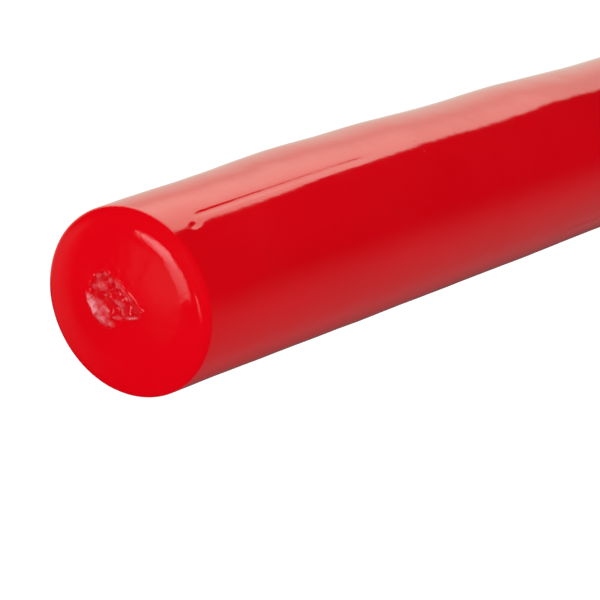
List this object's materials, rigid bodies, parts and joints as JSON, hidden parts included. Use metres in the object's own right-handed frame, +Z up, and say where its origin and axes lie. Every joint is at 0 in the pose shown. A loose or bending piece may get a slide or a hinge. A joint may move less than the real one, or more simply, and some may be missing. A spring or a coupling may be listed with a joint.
{
  "type": "post driver",
  "caption": "Manual post driver: a heavy galvanised tube, open at the foot and closed by a plate and slug at the top, with a straight red vinyl-dipped handle on each side.",
  "frame": {"origin": "centre of the open mouth, in the plane of its rim, on the barrel's axis", "axes": "+Z up along the barrel, from the mouth to the closed top; the handles lie along X, the right one towards +X; the gussets are under the handles, towards -Z"},
  "size_m": [0.5366, 0.09, 0.6023],
  "materials": {
    "zinc_coat": "hot-dip galvanised steel, spangled, satin, scuffed dull at the mouth and on the top plate",
    "zinced_weld": "rippled weld bead under the same zinc, duller and rougher",
    "bare_steel": "bare mild steel, turned, dulled and peened by use",
    "red_vinyl": "glossy dip-moulded red vinyl with a slightly wavy surface and a torn drip at the closed end"
  },
  "bodies": {
    "root": {"barrel_tube": "zinc_coat", "top_plate": "zinc_coat", "top_plate_weld": "zinced_weld", "striker_slug": "bare_steel", "slug_plug_weld_1": "zinced_weld", "slug_plug_weld_2": "zinced_weld", "slug_plug_weld_3": "zinced_weld", "slug_plug_weld_4": "zinced_weld", "mouth_collar": "zinc_coat", "collar_weld": "zinced_weld", "left_handle_bar": "zinc_coat", "left_end_plug": "bare_steel", "left_grip": "red_vinyl", "left_handle_weld": "zinced_weld", "left_gusset": "zinc_coat", "left_gusset_upright_weld_a": "zinced_weld", "left_gusset_upright_weld_b": "zinced_weld", "left_gusset_level_weld_a": "zinced_weld", "left_gusset_level_weld_b": "zinced_weld", "right_handle_bar": "zinc_coat", "right_end_plug": "bare_steel", "right_grip": "red_vinyl", "right_handle_weld": "zinced_weld", "right_gusset": "zinc_coat", "right_gusset_upright_weld_a": "zinced_weld", "right_gusset_upright_weld_b": "zinced_weld", "right_gusset_level_weld_a": "zinced_weld", "right_gusset_level_weld_b": "zinced_weld"}
  },
  "joints": []
}
